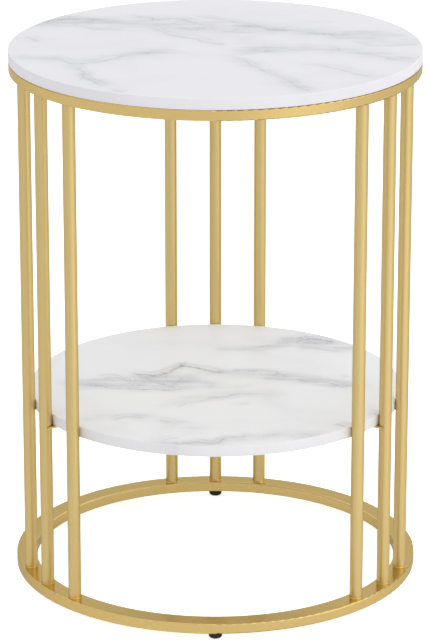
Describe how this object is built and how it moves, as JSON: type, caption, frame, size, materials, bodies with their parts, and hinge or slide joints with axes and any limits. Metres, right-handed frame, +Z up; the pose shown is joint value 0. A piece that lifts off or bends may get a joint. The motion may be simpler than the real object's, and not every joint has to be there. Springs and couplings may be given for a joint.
{
  "type": "side table",
  "caption": "Round side table with a marble-effect top and lower shelf on a gold frame of ring tubes and grouped round posts, standing on levelling feet.",
  "frame": {"origin": "on the floor, under the middle of the top", "axes": "+Z up; -Y is the front, towards the camera of the picture, with the open side between the posts"},
  "size_m": [0.45, 0.45, 0.6028],
  "materials": {
    "marble_board": "fibreboard with satin white marble-effect film",
    "marble_edge": "satin white marble-effect edge band",
    "gold_steel": "satin gold coat on welded steel tube",
    "zinc_steel": "bright zinc plate",
    "black_nylon": "glossy moulded nylon"
  },
  "bodies": {
    "table": {"top_board": "marble_board", "shelf_board": "marble_board", "top_edge_band": "marble_edge", "shelf_edge_band": "marble_edge", "upper_ring": "gold_steel", "lower_ring": "gold_steel", "back_left_post": "gold_steel", "back_middle_post": "gold_steel", "back_right_post": "gold_steel", "left_rear_post": "gold_steel", "left_middle_post": "gold_steel", "left_front_post": "gold_steel", "right_front_post": "gold_steel", "right_middle_post": "gold_steel", "right_rear_post": "gold_steel", "back_middle_tab": "gold_steel", "left_middle_tab": "gold_steel", "right_middle_tab": "gold_steel", "top_board_screws": "zinc_steel", "shelf_screws": "zinc_steel", "right_foot_insert": "zinc_steel", "back_foot_insert": "zinc_steel", "left_foot_insert": "zinc_steel", "front_foot_insert": "zinc_steel"},
    "right_foot_stud": {"right_foot_stud": "zinc_steel"},
    "right_foot_pad": {"right_foot_pad": "black_nylon"},
    "back_foot_stud": {"back_foot_stud": "zinc_steel"},
    "back_foot_pad": {"back_foot_pad": "black_nylon"},
    "left_foot_stud": {"left_foot_stud": "zinc_steel"},
    "left_foot_pad": {"left_foot_pad": "black_nylon"},
    "front_foot_stud": {"front_foot_stud": "zinc_steel"},
    "front_foot_pad": {"front_foot_pad": "black_nylon"}
  },
  "joints": [
    {"name": "right_foot_rise", "type": "slide", "parent": "table", "child": "right_foot_stud", "axis": [0, 0, -1], "range_m": [0, 0.006]},
    {"name": "right_foot_turn", "type": "hinge", "parent": "right_foot_stud", "child": "right_foot_pad", "pos_m": [0.214, 0, 0.003], "axis": [0, 0, -1], "range_deg": [0, 2160]},
    {"name": "back_foot_rise", "type": "slide", "parent": "table", "child": "back_foot_stud", "axis": [0, 0, -1], "range_m": [0, 0.006]},
    {"name": "back_foot_turn", "type": "hinge", "parent": "back_foot_stud", "child": "back_foot_pad", "pos_m": [0, 0.214, 0.003], "axis": [0, 0, -1], "range_deg": [0, 2160]},
    {"name": "left_foot_rise", "type": "slide", "parent": "table", "child": "left_foot_stud", "axis": [0, 0, -1], "range_m": [0, 0.006]},
    {"name": "left_foot_turn", "type": "hinge", "parent": "left_foot_stud", "child": "left_foot_pad", "pos_m": [-0.214, 0, 0.003], "axis": [0, 0, -1], "range_deg": [0, 2160]},
    {"name": "front_foot_rise", "type": "slide", "parent": "table", "child": "front_foot_stud", "axis": [0, 0, -1], "range_m": [0, 0.006]},
    {"name": "front_foot_turn", "type": "hinge", "parent": "front_foot_stud", "child": "front_foot_pad", "pos_m": [0, -0.214, 0.003], "axis": [0, 0, -1], "range_deg": [0, 2160]}
  ],
  "couplings": [
    {"joint": "right_foot_turn", "follows": "right_foot_rise", "rad_per_m": 6283},
    {"joint": "back_foot_turn", "follows": "back_foot_rise", "rad_per_m": 6283},
    {"joint": "left_foot_turn", "follows": "left_foot_rise", "rad_per_m": 6283},
    {"joint": "front_foot_turn", "follows": "front_foot_rise", "rad_per_m": 6283}
  ]
}
